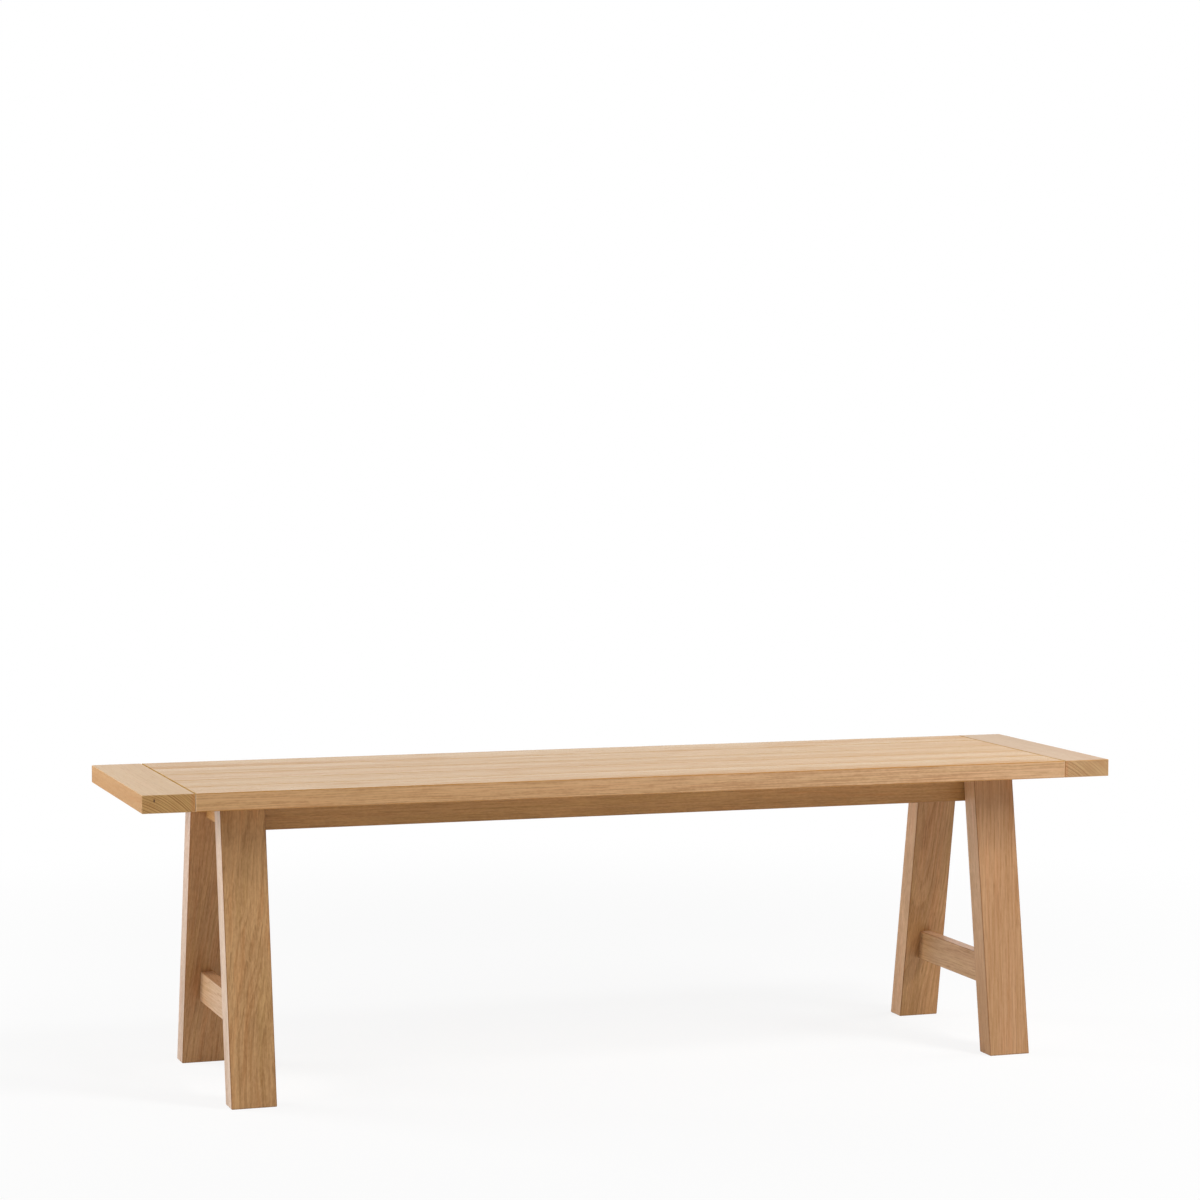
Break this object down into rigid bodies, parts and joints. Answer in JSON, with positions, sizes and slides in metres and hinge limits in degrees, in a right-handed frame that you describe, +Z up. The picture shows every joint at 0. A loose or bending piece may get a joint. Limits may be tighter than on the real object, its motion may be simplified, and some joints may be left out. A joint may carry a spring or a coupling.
{
  "type": "trestle bench",
  "caption": "Long oak dining bench with a planked seat between breadboard ends, on two A-shaped trestles joined by rails under the seat.",
  "frame": {"origin": "on the floor, under the middle of the seat", "axes": "+Z up, +X along the seat to the right trestle as seen from the front, -Y to the front"},
  "size_m": [1.6, 0.4, 0.48],
  "materials": {
    "seat_oak": "clear matt lacquered oak, fine straight grain along the bench",
    "breadboard_oak": "clear matt lacquered oak, grain across the bench",
    "leg_oak": "clear matt lacquered oak, long grain down the leg",
    "rail_oak": "clear matt lacquered oak, grain along the rail",
    "beech": "plain turned beech",
    "zinc_steel": "bright zinc-plated steel"
  },
  "bodies": {
    "root": {"seat_board_1": "seat_oak", "seat_board_2": "seat_oak", "seat_board_3": "seat_oak", "seat_board_4": "seat_oak", "seat_board_5": "seat_oak", "breadboard_end_left": "breadboard_oak", "breadboard_end_right": "breadboard_oak", "breadboard_peg_left_1": "beech", "breadboard_peg_left_2": "beech", "breadboard_peg_left_3": "beech", "breadboard_peg_left_4": "beech", "breadboard_peg_left_5": "beech", "breadboard_peg_right_1": "beech", "breadboard_peg_right_2": "beech", "breadboard_peg_right_3": "beech", "breadboard_peg_right_4": "beech", "breadboard_peg_right_5": "beech", "leg_left_front": "leg_oak", "leg_left_back": "leg_oak", "leg_right_front": "leg_oak", "leg_right_back": "leg_oak", "top_rail_left": "rail_oak", "top_rail_right": "rail_oak", "stretcher_left": "rail_oak", "stretcher_right": "rail_oak", "long_rail_front": "rail_oak", "long_rail_back": "rail_oak", "rail_bolt_left_front": "zinc_steel", "rail_bolt_left_back": "zinc_steel", "rail_bolt_right_front": "zinc_steel", "rail_bolt_right_back": "zinc_steel", "barrel_nut_left_front": "zinc_steel", "barrel_nut_left_back": "zinc_steel", "barrel_nut_right_front": "zinc_steel", "barrel_nut_right_back": "zinc_steel", "rail_dowel_left_front_1": "beech", "rail_dowel_left_front_2": "beech", "rail_dowel_left_back_1": "beech", "rail_dowel_left_back_2": "beech", "rail_dowel_right_front_1": "beech", "rail_dowel_right_front_2": "beech", "rail_dowel_right_back_1": "beech", "rail_dowel_right_back_2": "beech", "seat_screw_front_1": "zinc_steel", "seat_screw_front_2": "zinc_steel", "seat_screw_front_3": "zinc_steel", "seat_screw_back_1": "zinc_steel", "seat_screw_back_2": "zinc_steel", "seat_screw_back_3": "zinc_steel", "trestle_screw_left_front": "zinc_steel", "trestle_screw_left_back": "zinc_steel", "trestle_screw_right_front": "zinc_steel", "trestle_screw_right_back": "zinc_steel"}
  },
  "joints": []
}
